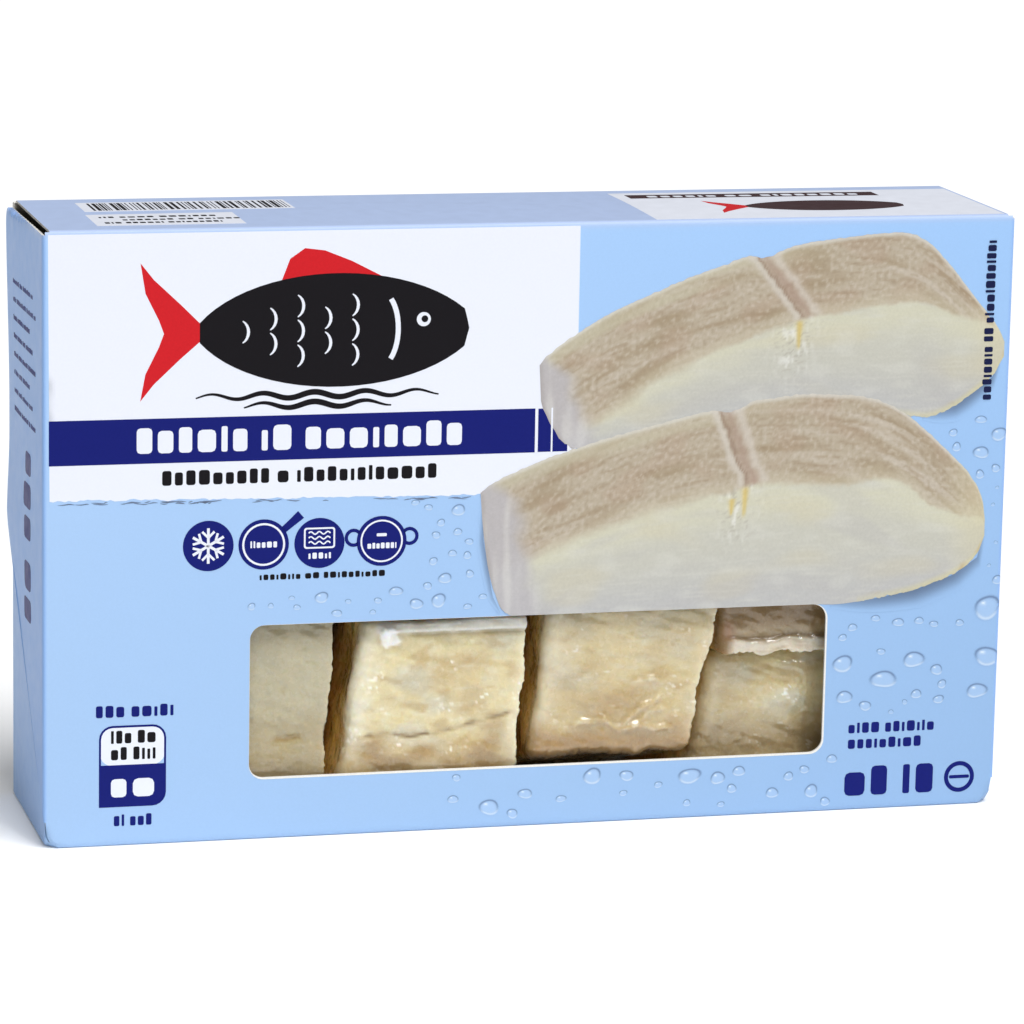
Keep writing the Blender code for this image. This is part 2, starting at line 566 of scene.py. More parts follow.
def add_carton():
    """The folded board in one mesh, joined where its panels meet and given its thickness."""
    points, faces, count = [], [], 0
    for placed, triangles in sheets():
        points.append(placed)
        faces += (triangles + count).tolist()
        count += len(placed)
    points = np.concatenate(points)
    keys = np.round(points * 500).astype(int)
    _, first, merged = np.unique(keys, axis=0, return_index=True, return_inverse=True)
    merged = merged.ravel()
    faces = [[merged[i] for i in face] for face in faces]
    faces = [face for face in faces if len(set(face)) == 3]
    points = points[first]
    # The board's tint holds its print together with painted light and shade: a light falloff, painted
    # shade on the ends and a painted sheen on the top
    carton = make_object("carton_board", points, faces, [
        coated_board("printed_board_with_painted_light", "tint"),
        raw_board("grey_board", INNER_BOARD, 0.8, 0.10),
        raw_board("cut_board", CUT_EDGE, 0.5, 0.16),
    ], board_blue_and_painted_light(points))
    shell = carton.modifiers.new("board", "SOLIDIFY")
    shell.thickness = BOARD * MM
    shell.offset = -1.0
    shell.material_offset = 1
    shell.material_offset_rim = 2
    evaluated = carton.evaluated_get(bpy.context.evaluated_depsgraph_get())
    solid = bpy.data.meshes.new_from_object(evaluated)
    carton.modifiers.clear()
    carton.data = solid
    solid.shade_smooth()
    solid.set_sharp_from_angle(angle=0.7)
    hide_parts("carton")


# ---- Print

def greeked(ink, panel, a, b, width, height, words, seed=0, turn=0.0):
    """A line of small blocks in place of lettering; each word is a number of blocks."""
    chooser = random.Random(seed)
    blocks, at = [], 0.0
    for word in words:
        for _ in range(word):
            wide = chooser.choice((0.22, 0.48, 0.52, 0.56, 0.66))
            blocks.append((at, wide, chooser.choice((0.8, 0.88, 1.0, 1.0))))
            at += wide + 0.2
        at += 0.32
    scale = width / (at - 0.52)
    for start, wide, tall in blocks:
        a0, a1 = a + start * scale, a + (start + wide) * scale
        loop = rectangle(a0, b, a1, b + tall * height, min(a1 - a0, height) * 0.24, 2)
        ink.add(panel, [turned(loop, (a, b), turn)])


def some_words(seed, count):
    """Word lengths for a line of small print."""
    chooser = random.Random(seed)
    return [chooser.randint(2, 9) for _ in range(count)]


def field_edge(a):
    """The height of the white field's lower edge, which slopes down to the right."""
    return FIELD_BOTTOM - FIELD_SLOPE * (a - FIELD_LEFT)


def torn_edge():
    """The lower edge of the white field, raggedly brushed off."""
    points = []
    for a in np.arange(FIELD_LEFT, FIELD_RIGHT, 1.1):
        ragged = 0.45 * noise.noise((a / 2.3, 0.4, 0.0)) + 0.35 * noise.noise((a / 0.9, 7.4, 0.0))
        points.append((a, field_edge(a) + ragged))
    return points


def add_white_fields():
    white = Ink("print_white_field", 1, coated_board("white_ink", WHITE, 0.36, 0.01))
    white.add(front, [[(1.6, 178.9)] + torn_edge() + [(156.7, 101.0), (156.7, 178.9)]], 5.0)
    white.add(front, [rectangle(16.6, 24.0, 35.6, 35.6, 3.6)])
    for panel, corners in ((top, (18, 36, 80, 55)), (top, (17, 8, 60, 30)),
                           (top, (180, 1.5, WIDTH - 3, 56)), (back, (14, 16, 132, 166, 3)),
                           (back, (226, 16, 274, 52, 2))):
        white.add(panel, [rectangle(*corners)], 5.0)
    white.finish()


def add_bands():
    """Everything printed in navy: bands, icons, the tag and rows of blocks on four panels."""
    navy = Ink("print_navy", 2, coated_board("navy_ink", NAVY, 0.4, 0.04, 0.08))
    low, high = BAND
    navy.add(front, [rectangle(1.8, low, 144.2, high)], 5.0)
    for a0, a1 in ((145.1, 149.0), (149.5, 154.0)):
        navy.add(front, [rectangle(a0, low + 0.1, a1, high - 0.1)])
    for a, b, _ in ICONS:
        navy.add(front, [disc((a, b), ICON_RADIUS, 40)])
    add_icon_outsides(navy)
    add_badge(navy)
    for a, b, width, height, words, seed in (
            (15.4, 38.4, 22.6, 3.5, (3, 5), 21), (20.7, 6.0, 11, 3.4, (2, 3), 22),
            (243.3, 23.8, 27, 3.2, (4, 7), 23), (243.3, 19.0, 23, 3.2, (9,), 24),
            (242.6, 4.4, 28, 9.0, (2, 2), 29)):
        greeked(navy, front, a, b, width, height, words, seed)
    navy.add(front, [disc((279.0, 8.8), 4.8), disc((279.0, 8.8), 3.5)])
    navy.add(front, [rectangle(275.8, 8.3, 282.2, 9.3, 0.4)])
    for row in range(8):
        width = 38 - 5 * (row % 3)
        for panel in (left_end, right_end):
            greeked(navy, panel, 14, 120 + row * 5.4, width, 1.5, some_words(row, 4), row)
    for panel, a in ((left_end, 44), (right_end, 30)):
        greeked(navy, panel, a, 62, 50, 11.5, (2, 3), 60, 90.0)
    for row in range(18):
        width = 104 - 12 * (row % 3)
        greeked(navy, back, 20, 26 + row * 6.4, width, 1.7, some_words(row, 8), 80 + row)
    navy.add(back, [rectangle(20, 148, 126, 158, 1)], 5.0)
    for row in range(5):
        greeked(navy, back, 160, 60 + row * 7.0, 110, 2.2, some_words(row + 30, 7), 120 + row)
    navy.finish()


def add_icon_outsides(navy):
    """A pan's handle and a pot's two grips round their discs."""
    navy.add(front, [stroke([(69.4, 91.6), (72.0, 93.8), (75.0, 96.4)], (1.9, 2.2, 2.7))])
    for side in (-1, 1):
        centre = (98.9 + side * 8.3, 89.0)
        navy.add(front, [disc(centre, 2.7, 20), disc(centre, 1.7, 20)])


def add_badge(navy):
    """A tag in two fields, whose lower left corner is sharp."""
    a0, b0, a1, b1 = 16.3, 11.7, 35.9, 35.9
    outer = [(a0, b0)] + arc((a1 - 4, b0 + 4), 4, -90, 0, 5) + arc((a1 - 4, b1 - 4), 4, 0, 90, 5)
    outer += arc((a0 + 4, b1 - 4), 4, 90, 180, 5)
    field = [(a0 + 0.6, 24.2), (a1 - 0.6, 24.2)] + arc((a1 - 4, b1 - 4), 3.4, 0, 90, 5)
    field += arc((a0 + 4, b1 - 4), 3.4, 90, 180, 5)
    navy.add(front, [outer, field])


def add_white_marks():
    """White marks that lie on the navy fields, and the white part of the tag."""
    white = Ink("print_white_marks", 3, coated_board("white_marks_ink", WHITE, 0.36, 0.01))
    greeked(white, front, 27.0, 115.5, 95.3, 7.4, HEADING_WORDS, 11)
    greeked(white, front, 19.8, 14.6, 12.6, 6.8, (2,), 15)
    greeked(white, top, 190, 45.3, 66, 3.6, HEADING_WORDS, 13)
    for a0, a1 in ((144.2, 144.9), (149.0, 149.5)):
        white.add(front, [rectangle(a0, BAND[0] - 0.1, a1, BAND[1] + 0.1)])
    for a, b, kind in ICONS:
        add_icon(white, a, b, kind)
    greeked(white, back, 24, 150.4, 90, 5.0, HEADING_WORDS, 14)
    white.finish()


def add_icon(white, a, b, kind):
    """The white drawing on one of the four round icons."""
    if kind == "snow":
        for turn in range(0, 180, 60):
            white.add(front, [turned(rectangle(a - 5.2, b - 0.4, a + 5.2, b + 0.4), (a, b), turn + 30)])
        for turn in range(0, 360, 60):
            for bend in (-1, 1):
                branch = stroke([(a + 2.4, b), (a + 3.3, b + bend * 0.9), (a + 4.2, b + bend * 1.8)], 0.7)
                white.add(front, [turned(branch, (a, b), turn + 30)])
    elif kind == "pan":
        white.add(front, [disc((a, b), 6.3, 36), disc((a, b), 5.7, 36)])
        greeked(white, front, a - 3.9, b - 0.95, 7.8, 2.0, (6,), 31)
    elif kind == "oven":
        oven = rectangle(a - 4.6, b - 1.6, a + 4.6, b + 4.6, 0.8)
        white.add(front, [oven, rectangle(a - 4.1, b - 1.1, a + 4.1, b + 4.1, 0.5)])
        for row in range(3):
            wave = [(a - 3.2 + 0.4 * i, b + 0.1 + row * 1.45 + 0.4 * math.sin(i)) for i in range(17)]
            white.add(front, [stroke(wave, 0.42)])
        greeked(white, front, a - 3.2, b - 4.6, 6.6, 1.8, (5,), 32)
    else:
        white.add(front, [disc((a, b), 6.3, 36), disc((a, b), 5.8, 36)])
        white.add(front, [rectangle(a - 1.5, b + 1.4, a + 1.5, b + 2.3, 0.3)])
        greeked(white, front, a - 4.2, b - 2.2, 8.6, 1.7, (7,), 33)


def placed_fish(points, a, b, length):
    """Points of a fish 100 long, moved and scaled to its place."""
    unit = length / 100
    return [(a + x * unit, b + y * unit) for x, y in points]


def fish_body(a, b, length):
    """The body of a plain fish swimming to the right, as an emblem for the pack's contents."""
    unit = length / 100
    radii = (46 * unit, 25 * unit)
    loop = arc((a + 60 * unit, b - 8 * unit), radii, 154, 33, 22)
    loop += placed_fish([(99.4, 2.5), (100, -0.2)], a, b, length)
    return loop + arc((a + 60 * unit, b + 8 * unit), radii, -33, -154, 22)


def fish_tail(a, b, length):
    points = [(21, 0.6), (13, 8.5), (5, 16), (1, 21), (2.5, 12), (6.5, 4), (8, 0), (6.5, -4),
              (2.5, -12), (1, -20), (5, -15), (13, -7.5), (21, -0.6)]
    return placed_fish(points, a, b, length)


def fish_fin(a, b, length):
    points = [(43, 15.0), (45.5, 21.5), (50, 24.6), (56, 23.8), (64, 20.6), (73, 16.0), (77, 12.0)]
    return placed_fish(points, a, b, length)


def add_emblem():
    """Everything printed in black: the fish over two waves, rows of blocks and barcodes."""
    black = Ink("print_black", 2, coated_board("black_ink", BLACK, 0.4, 0.05, 0.08))
    gill = stroke(arc((98.0, 150.0), (5.0, 10.5), -56, 56, 14), 1.5)
    cuts = [disc((110.5, 152.6), 2.1, 20), gill]
    for column in range(5):
        for row in range(-1, 2):
            reach = (column % 2) * 3.6 + row * 7.2
            if abs(reach) < 11.5 - 1.1 * (4 - column):
                cuts.append(stroke(arc((56 + 8 * column, 150 + reach), (3.2, 3.6), -62, 62, 8),
                                   0.9 * np.sin(np.linspace(0.4, 2.74, 9))))
    black.add(front, [fish_body(*FISH_PLACE)] + cuts, 6.0)
    black.add(front, [disc((110.8, 152.7), 1.0, 16)])
    for row, (a0, a1) in enumerate(((44, 116), (58, 102))):
        wave = [(a, 131.4 - 2.8 * row + 0.8 * math.sin(a * 0.42)) for a in np.arange(a0, a1, 0.8)]
        width = 1.5 * np.sin(np.linspace(0.15, math.pi - 0.15, len(wave))) + 0.2
        black.add(front, [stroke(wave, width)])
    for a, b, width, height, words, seed in (
            (34.4, 106.0, 80.5, 4.3, (9, 1, 13), 41), (63.0, 77.4, 37, 1.8, (8, 2, 10), 42),
            (19.8, 30.6, 13, 3.8, (3, 2), 43), (19.8, 25.7, 13, 3.8, (2, 4), 44)):
        greeked(black, front, a, b, width, height, words, seed)
    add_barcode(black, top, 21, 38, 58, 15)
    add_barcode(black, back, 230, 22, 40, 26)
    for row in range(3):
        greeked(black, top, 20 + 6 * (row % 2), 12 + row * 5.5, 34, 2.6, some_words(row + 70, 3), row)
    black.finish()


def add_side_note():
    """The small line that runs up the right-hand edge, over the picture."""
    note = Ink("print_side_note", 5, coated_board("note_ink", (26, 32, 70), 0.4, 0.05, 0.08))
    greeked(note, front, 284.4, 124.5, 47.8, 2.9, (8, 2, 12), 26, 90.0)
    note.finish()


def add_barcode(ink, panel, a, b, width, height):
    """Upright bars of arbitrary widths, with no number under them."""
    chooser = random.Random(7)
    at = a
    while at < a + width:
        bar = chooser.choice((0.35, 0.35, 0.7, 1.05))
        ink.add(panel, [rectangle(at, b, min(at + bar, a + width), b + height)])
        at += bar + chooser.choice((0.35, 0.7, 0.7, 1.05))


def add_red():
    """The emblem's tail and fin, and the tail of the small one on top."""
    red = Ink("print_red", 1.5, coated_board("red_ink", RED, 0.4, 0.04, 0.1))
    red.add(front, [fish_tail(*FISH_PLACE)])
    red.add(front, [fish_fin(*FISH_PLACE)])
    red.add(top, [fish_tail(*SMALL_FISH_PLACE)])
    red.finish()


def add_window_rim():
    """The board's white cut edge, pressed outward below the window and at its right."""
    a0, b0, a1, b1 = WINDOW
    rim = Ink("window_cut_rim", 2, raw_board("cut_rim", (236, 234, 228), 0.5, 0.08))
    outer = rectangle(a0 - 0.06, b0 - 0.55, a1 + 0.5, b1 + 0.06, WINDOW_RADIUS + 0.3, 8)
    rim.add(front, [outer, window_loop()])
    rim.finish()


def add_brush_shadow():
    """Grey strokes just under the white field's brushed edge."""
    grey = Ink("print_brush_shadow", 2, coated_board("brush_shadow_ink", (112, 126, 152), 0.4, 0.05))
    chooser = random.Random(17)
    for a0, count in ((3, 10), (26, 24), (60, 8), (96, 9), (118, 6)):
        for _ in range(count):
            a = a0 + chooser.uniform(0, 22)
            b = field_edge(a) - chooser.uniform(0.5, 1.2)
            long = chooser.uniform(1.0, 4.5)
            points = [(a + long * i / 4, b + 0.12 * math.sin(a + i)) for i in range(5)]
            grey.add(front, [stroke(points, (0.05, 0.2, 0.28, 0.2, 0.05))])
    grey.finish()


def add_top_emblem():
    """The dark band and the small fish on top of the carton."""
    dark = Ink("print_top_band", 2, coated_board("brown_black_ink", (62, 40, 44), 0.4, 0.04, 0.2))
    dark.add(top, [rectangle(184, 43.6, 262, 51.4)], 5.0)
    dark.add(top, [fish_body(*SMALL_FISH_PLACE)])
    dark.finish()


# ---- Droplets

DROP_AREAS = ((22, 118, 3, 240, 16.5, 3.9), (20, 239, 31, 288, 62, 4.4),
              (5, 285.6, 62, 289, 100, 2.0), (9, 272, 98, 288, 122, 4.4),
              (9, 236, 3, 286, 34, 2.6), (20, 108, 66, 131, 100, 3.9),
              (10, 60, 65.5, 118, 75, 2.8))
DROP_TRIES = 30
DROP_RINGS = 7
DROP_STEPS = 22


def drop_places(chooser):
    """Places and radii of drops that keep clear of each other and of other print."""
    places = []
    for count, a0, b0, a1, b1, size in DROP_AREAS:
        for _ in range(count):
            for _ in range(DROP_TRIES):
                a, b = chooser.uniform(a0, a1), chooser.uniform(b0, b1)
                r = size * chooser.choice((0.35, 0.45, 0.6, 0.8, 1.0))
                clear = all(math.dist((a, b), p[:2]) > (r + p[2]) * 1.35 for p in places)
                if clear and not is_taken(a, b, r):
                    places.append((a, b, r))
                    break
    return places


def add_droplets():
    """Water drops printed on the blue: a dark rim above, a bright one below and a glint."""
    chooser = random.Random(5)
    points, faces, colours = [], [], []
    shares = np.linspace(0, 1, DROP_RINGS)[1:]
    angles = np.linspace(0, 2 * math.pi, DROP_STEPS, endpoint=False)
    for a, b, r in drop_places(chooser):
        squash = chooser.uniform(0.62, 0.95)
        phase = chooser.uniform(0, 6.28)
        start = sum(map(len, points))
        ring, angle = np.meshgrid(shares, angles, indexing="ij")
        wobble = 1 + 0.07 * np.sin(2 * angle + phase) + 0.05 * np.sin(3 * angle + 2 * phase)
        flat_a = np.append(a, (a + r * ring * wobble * np.cos(angle)).ravel())
        flat_b = np.append(b, (b + r * squash * ring * wobble * np.sin(angle)).ravel())
        ring = np.append(0.0, ring.ravel())
        angle = np.append(0.0, angle.ravel())
        base = front(flat_a, flat_b)
        points.append(on_board(base, LIFT * 1.5))
        colours.append(droplet_colours(base, ring, angle, r))
        for i in range(DROP_STEPS):
            j = (i + 1) % DROP_STEPS
            faces.append((start, start + 1 + i, start + 1 + j))
            for k in range(DROP_RINGS - 2):
                p, q = start + 1 + k * DROP_STEPS, start + 1 + (k + 1) * DROP_STEPS
                faces.append((p + i, q + i, q + j, p + j))
    make_object("print_droplets", np.concatenate(points), faces,
                [coated_board("droplet_ink", "tint", 0.34)], np.concatenate(colours))


def is_taken(a, b, r):
    """Whether a drop would lie on other print or over the window."""
    if WINDOW[0] - r - 1 < a < WINDOW[2] + r + 1 and WINDOW[1] - r - 1 < b < WINDOW[3] + r + 1:
        return True
    taken = [(240.5, 2, 285.5, 29), (12, 2, 40, 44), (38, 76, 111, 97), (280, 122, 286, 174)]
    if any(x0 - r < a < x1 + r and y0 - r < b < y1 + r for x0, y0, x1, y1 in taken):
        return True
    grown = [(mix(206, p, 1.035), mix(100, q, 1.05)) for loin in (FRONT_LOIN, BACK_LOIN)
             for p, q in loin["top"] + loin["bottom"][::-1]]
    half = len(FRONT_LOIN["top"] + FRONT_LOIN["bottom"])
    place = np.array([[a, b]])
    return bool(inside(place, [grown[:half]])[0] or inside(place, [grown[half:]])[0])


def droplet_colours(base, ring, angle, radius):
    blue = board_blue_and_painted_light(base)
    up = np.sin(angle)
    rim = ramp(0.62, 0.86, ring) * (1 - ramp(0.93, 1.0, ring))
    colour = blend(blue, (190, 212, 240), 0.28 * (1 - ramp(0.6, 0.95, ring)))
    colour = blend(colour, (92, 114, 150), rim * (0.25 + 0.6 * np.clip(0.4 + up, 0, 1)))
    colour = blend(colour, (222, 234, 248), rim * 0.75 * ramp(0.1, 0.9, -up))
    glint = np.exp(-((ring * np.cos(angle) + 0.3) ** 2 + (ring * up - 0.36) ** 2) / 0.02)
    return blend(colour, (240, 246, 252), 0.9 * glint * (radius > 1.0))


# ---- Printed loins

# Two loins in one picture: outlines in the front panel's own coordinates, from left to right.
# seam is where the skin has split, from its top down, and flesh is the skin's lower edge.
FRONT_LOIN = {
    "top": [(128.2, 101.0), (132, 104.2), (147.5, 110.6), (166, 116.2), (196, 123.4), (201.5, 123.6),
            (204.5, 121.4), (208, 125.8), (226, 127.8), (244, 126.8), (252, 124.4), (260, 119.6),
            (271, 109.8), (280, 101), (283.2, 94), (284, 88)],
    "bottom": [(128.2, 101.0), (129.3, 87), (132.4, 70), (135.2, 64.06), (180, 64.06), (231, 64.06),
               (238, 63.6), (247, 64.6), (262, 67.0), (275, 71.6), (281.6, 76.2), (284, 83)],
    "flesh": [(128, 76), (146, 81.9), (160, 87.8), (174, 92.2), (188, 95.8), (204.5, 99.2),
              (216, 101.2), (232, 100.2), (242, 100.6), (250, 102.4), (258, 99.8), (266, 93.4),
              (274, 90.6), (284, 88.4)],
    "seam": [(199.5, 124.5), (203.0, 116.0), (205.6, 108.0), (208.6, 103.2), (208.4, 91.5)],
    "end": [(131, 104), (139, 99), (143, 84), (146.5, 64)],
    "slits": [(208.4, 91.4, 100.0), (204.4, 92.0, 96.8)],
}
BACK_LOIN = {
    "top": [(145.2, 138.5), (148, 141.6), (153.5, 145.6), (166, 153.2), (190, 163.2), (203, 167.4),
            (208, 169.8), (211, 168.6), (213.5, 167.4), (217, 170.6), (226, 172.8), (247, 175.0),
            (257, 175.4), (264, 172), (272, 163.2), (280, 153.2), (285.5, 147), (288, 142)],
    "bottom": [(145.2, 138.5), (145.6, 127.5), (149, 120), (154, 113), (178, 116), (200, 121),
               (226, 125), (250, 122), (265, 119.3), (273, 122.6), (284.6, 131), (288, 137.6)],
    "flesh": [(145, 112), (172, 126.5), (180.5, 133.2), (192, 138.0), (204, 143.2), (214, 146.6),
              (229, 150.8), (239.5, 152.2), (254, 154.4), (260.5, 155.4), (268.5, 152.2),
              (276.5, 148.4), (287, 146)],
    "seam": [(210.5, 168.2), (217, 160.5), (224.4, 151.0), (223.8, 140.5)],
    "end": [(147, 141), (155, 134), (160, 122), (164, 112)],
    "slits": [(223.7, 141.2, 149.4)],
}


def follow(line, at, reach=3.2):
    """The height of a line of points at each place along it, with its corners rounded off."""
    line = np.array(line, float)
    near_end = np.minimum(at - line[0, 0], line[-1, 0] - at)
    reach = reach * np.clip(near_end / 5.0, 0.0, 1.0)
    steps = np.linspace(-1, 1, 9)
    return sum(np.interp(at + step * reach, line[:, 0], line[:, 1]) for step in steps) / len(steps)


def strip_faces(columns, rows, start=0):
    """The faces of a grid of points that run up one column after another."""
    corners = [start + i * rows + j for i in range(columns - 1) for j in range(rows - 1)]
    return [(p, p + rows, p + rows + 1, p + 1) for p in corners]


def loin_picture(name, loin, level, seed):
    """A printed loin as a patch whose points carry the picture's colours."""
    left, right = loin["top"][0][0], loin["top"][-1][0]
    a = np.arange(left, right + 0.01, 0.62)
    a[-1] = right
    high, low = follow(loin["top"], a), follow(loin["bottom"], a)
    wobble = flat_lumps(a, a * 0, (1.7, 1), seed)
    high = high + 0.28 * wobble
    low = np.where(low > 64.3, low + 0.35 * flat_lumps(a, a * 0, (1.3, 1), seed + 5), low)
    low = np.minimum(low, high - 0.02)
    rows = 96
    share = np.linspace(0, 1, rows)
    flat_a = np.repeat(a, rows)
    flat_b = (low[:, None] + (high - low)[:, None] * share).ravel()
    base = front(flat_a, flat_b)
    colours = loin_colours(loin, flat_a, flat_b, seed)
    make_object(name, on_board(base, level * LIFT), strip_faces(len(a), rows),
                [picture_ink(name + "_ink")], colours)


def picture_ink(name):
    """Printed board with a little more mottling than the plain inks."""
    nodes = Nodes(name)
    nodes.colour("tint", nodes.noise(0.8, 4.0, 0.7), 0.05)
    nodes.bump((nodes.noise(9.0, 2.0), 0.12), (nodes.noise(0.8, 3.0), 0.012))
    nodes.set(Roughness=0.38, Specular_IOR_Level=0.14)
    return nodes.material


def seam_offset(loin, a, b):
    """How far each point is to the right of the seam, and how far down the seam it is."""
    seam = np.array(loin["seam"], float)[::-1]
    middle = np.interp(b, seam[:, 1], seam[:, 0])
    down = (seam[-1, 1] - b) / (seam[-1, 1] - seam[0, 1])
    return a - middle, down


def loin_colours(loin, a, b, seed):
    """The picture's colours at each point: skin over flesh, a cut end, a seam and a thin rim."""
    high, low, edge = (follow(loin[key], a) for key in ("top", "bottom", "flesh"))
    length = (a - a.min()) / (a.max() - a.min())
    crest = (loin["top"][0][0] + loin["top"][-1][0]) / 2
    smooth_top = high.max() - 30 * np.abs((a - crest) / 78) ** 2.2
    across = b - mix(smooth_top, high, 0.5)
    along = a + 0.35 * across * np.sign(a - crest) * ramp(0, 30, np.abs(a - crest))

    def patches(size, step, low_share=None, high_share=None, following=False):
        """A noise of the picture, along its panel or its skin, as a share between two levels."""
        places = (along, across) if following else (a, b)
        value = flat_lumps(*places, size, seed + step)
        return value if low_share is None else ramp(low_share, high_share, value)

    edge = edge + 0.7 * patches((8, 8), 1) + 0.35 * patches((1.6, 1.6), 0)
    depth = (edge - b) / np.maximum(edge - low, 1.0)
    flesh = layered(
        (203, 201, 181),
        ((193, 192, 181), ramp(0.10, 0.42, depth)),
        ((184, 184, 183), ramp(0.42, 1.0, depth)),
        ((202, 193, 164), 0.3 * patches((24, 10), 2, 0.2, 0.9)),
        ((180, 178, 177), 0.3 * patches((22, 5), 3, 0.1, 0.8, True)),
        ((214, 214, 206), 0.25 * patches((9, 3.5), 4, 0.1, 0.9)),
        ((206, 205, 196), 0.3 * patches((9, 0.7), 17, 0.1, 0.8)),
    )

    streak = patches((30, 2.6), 8, following=True)
    pale = 0.35 + 0.35 * ramp(0.55, 0.8, length)
    grain = patches((1.2, 1.2), 10)
    below_top = high - b
    fade = 0.65 * (1 - ramp(0.42, 0.68, length))
    skin = layered(
        (181, 169, 150),
        ((163, 147, 123), patches((18, 4.5), 6, -0.2, 0.9, True)),
        ((174, 154, 134), 0.5 * patches((12, 8), 7, 0.0, 0.7)),
        ((194, 184, 170), pale * ramp(0.0, 0.8, streak)),
        ((150, 130, 104), 0.34 * patches((9, 1.3), 9, 0.25, 0.8, True)),
        ((148, 131, 108), 0.30 * ramp(0.15, 0.8, grain)),
        ((208, 200, 188), 0.36 * ramp(0.15, 0.8, -grain)),
        ((196, 188, 166), 0.5 * (1 - ramp(0.5, 5.5, b - edge + streak))),
        ((192, 187, 163), fade * (1 - ramp(1.0, 7.0, below_top + 2 * streak))),
        ((210, 207, 199), 0.8 * (1 - ramp(0.2, 1.5, below_top))),
    )

    soft = mix(2.6, 0.8, ramp(0.15, 0.6, length)) * (1 + 0.5 * patches((15, 15), 18))
    face_end = np.array(loin["end"], float)[::-1]
    from_end = a - np.interp(b, face_end[:, 1], face_end[:, 0]) + 1.6 * patches((6, 6), 11)
    end_face = layered(
        (181, 178, 181),
        ((197, 195, 195), patches((3, 16), 12, -0.1, 0.7)),
        ((160, 154, 154), 0.5 * (1 - ramp(0.3, 1.6, a - follow_left(loin, b)))),
    )

    right, down = seam_offset(loin, a, b)
    right = right + 0.5 * patches((2.2, 2.2), 13)
    in_skin = ramp(-0.5, 1.5, b - edge)

    def beside_seam(distance, width):
        return np.exp(-((right - distance) / width) ** 2)

    frayed = (1 - in_skin) * beside_seam(-1.5, 6.0) * (1 - ramp(8, 22, edge - b))
    colour = layered(
        flesh,
        (skin, ramp(-1.0, 1.0, (b - edge) / soft)),
        (end_face, 0.9 * (1 - ramp(-4.5, 3.5, from_end))),
        ((166, 144, 130), 0.7 * in_skin * beside_seam(2.6, 2.0)),
        ((172, 142, 132), 0.75 * in_skin * beside_seam(2.4, 2.6) * ramp(0.55, 0.9, down)),
        ((203, 196, 186), 0.85 * in_skin * beside_seam(-1.3, 1.3)),
        ((142, 118, 102), 0.7 * in_skin * beside_seam(0.4, 0.5)),
        ((203, 195, 185), 0.75 * in_skin * beside_seam(5.8, 1.5) * (1 - ramp(0.75, 0.95, down))),
        ((168, 162, 150), 0.6 * frayed * patches((2.0, 0.42), 14, 0.25, 0.6)),
        ((232, 232, 228), 0.55 * frayed * patches((1.2, 4), 15, 0.2, 0.7)),
    )
    for middle, bottom, slit_top in loin["slits"]:
        up = (b - bottom) / (slit_top - bottom)
        narrow = 0.35 + 0.75 * np.clip(up, 0, 1)
        here = np.exp(-((a - middle - 0.3 * up) / narrow) ** 2)
        here *= ramp(-0.1, 0.15, up) * (1 - ramp(0.9, 1.1, up))
        colour = blend(colour, (206, 184, 116), 0.95 * here)

    above = b - low
    lower_right = ramp(0.62, 0.9, length) * (low > 64.3)
    spots = patches((5, 3), 16, 0.25, 0.7)
    return layered(
        colour,
        ((204, 197, 158), 0.7 * lower_right * (1 - ramp(0.3, 2.4, above))),
        ((176, 146, 100), 0.6 * spots * lower_right * (1 - ramp(0.5, 2.6, above))),
        ((208, 200, 166), 0.5 * ramp(0.9, 1.0, length)),
    )


def follow_left(loin, b):
    """The left outline's place at each height."""
    side = np.array([p for p in loin["bottom"] if p[0] < loin["bottom"][0][0] + 12], float)[::-1]
    return np.interp(b, side[:, 1], side[:, 0])


def add_picture_shadows():
    """Soft shadows printed on the blue under the loins' right ends and beside their left ends."""
    strips = [
        ([(236, 63.4), (247, 64.6), (262, 67), (275, 71.6), (282, 76.5), (284.2, 86)],
         (2.2, -5.4), 0.62),
        ([(263, 119.6), (273, 122.8), (284.6, 131.2), (287.4, 138)], (1.0, -5.2), 0.6),
        ([(129.0, 101), (129.3, 87), (132.4, 70), (135.2, 64.3)], (-2.0, -1.5), 0.45),
    ]
    points, faces, colours, count = [], [], [], 0
    rows = 9
    for line, (da, db), strength in strips:
        line = np.array(line, float)
        distance = np.append(0, np.cumsum(np.linalg.norm(np.diff(line, axis=0), axis=1)))
        at = np.arange(0, distance[-1], 0.9)
        a, b = (np.interp(at, distance, line[:, i]) for i in range(2))
        share = np.linspace(0, 1, rows)
        fade = np.sin(np.pi * np.clip(at / distance[-1], 0.02, 0.98)) ** 0.6
        flat_a = (a[:, None] + da * share * fade[:, None]).ravel()
        flat_b = (b[:, None] + db * share * fade[:, None]).ravel()
        base = front(np.minimum(flat_a, WIDTH - 0.4), flat_b)
        dark = strength * (1 - ramp(0, 1, np.tile(share, len(at)))) * np.repeat(fade, rows)
        colours.append(blend(board_blue_and_painted_light(base), (70, 82, 104), dark))
        points.append(on_board(base, LIFT * 1.8))
        turn = np.cross([line[1][0] - line[0][0], line[1][1] - line[0][1]], [da, db]) > 0
        strip = strip_faces(len(at), rows, count)
        faces += strip if turn else [face[::-1] for face in strip]
        count += len(base)
    make_object("print_soft_shadows", np.concatenate(points), faces,
                [coated_board("shadow_ink", "tint", 0.36)], np.concatenate(colours))


# ---- Cod

COD_FRONT = -28.6
COD_BACK = 28.0
COD_COUNTS = (84, 40, 84)


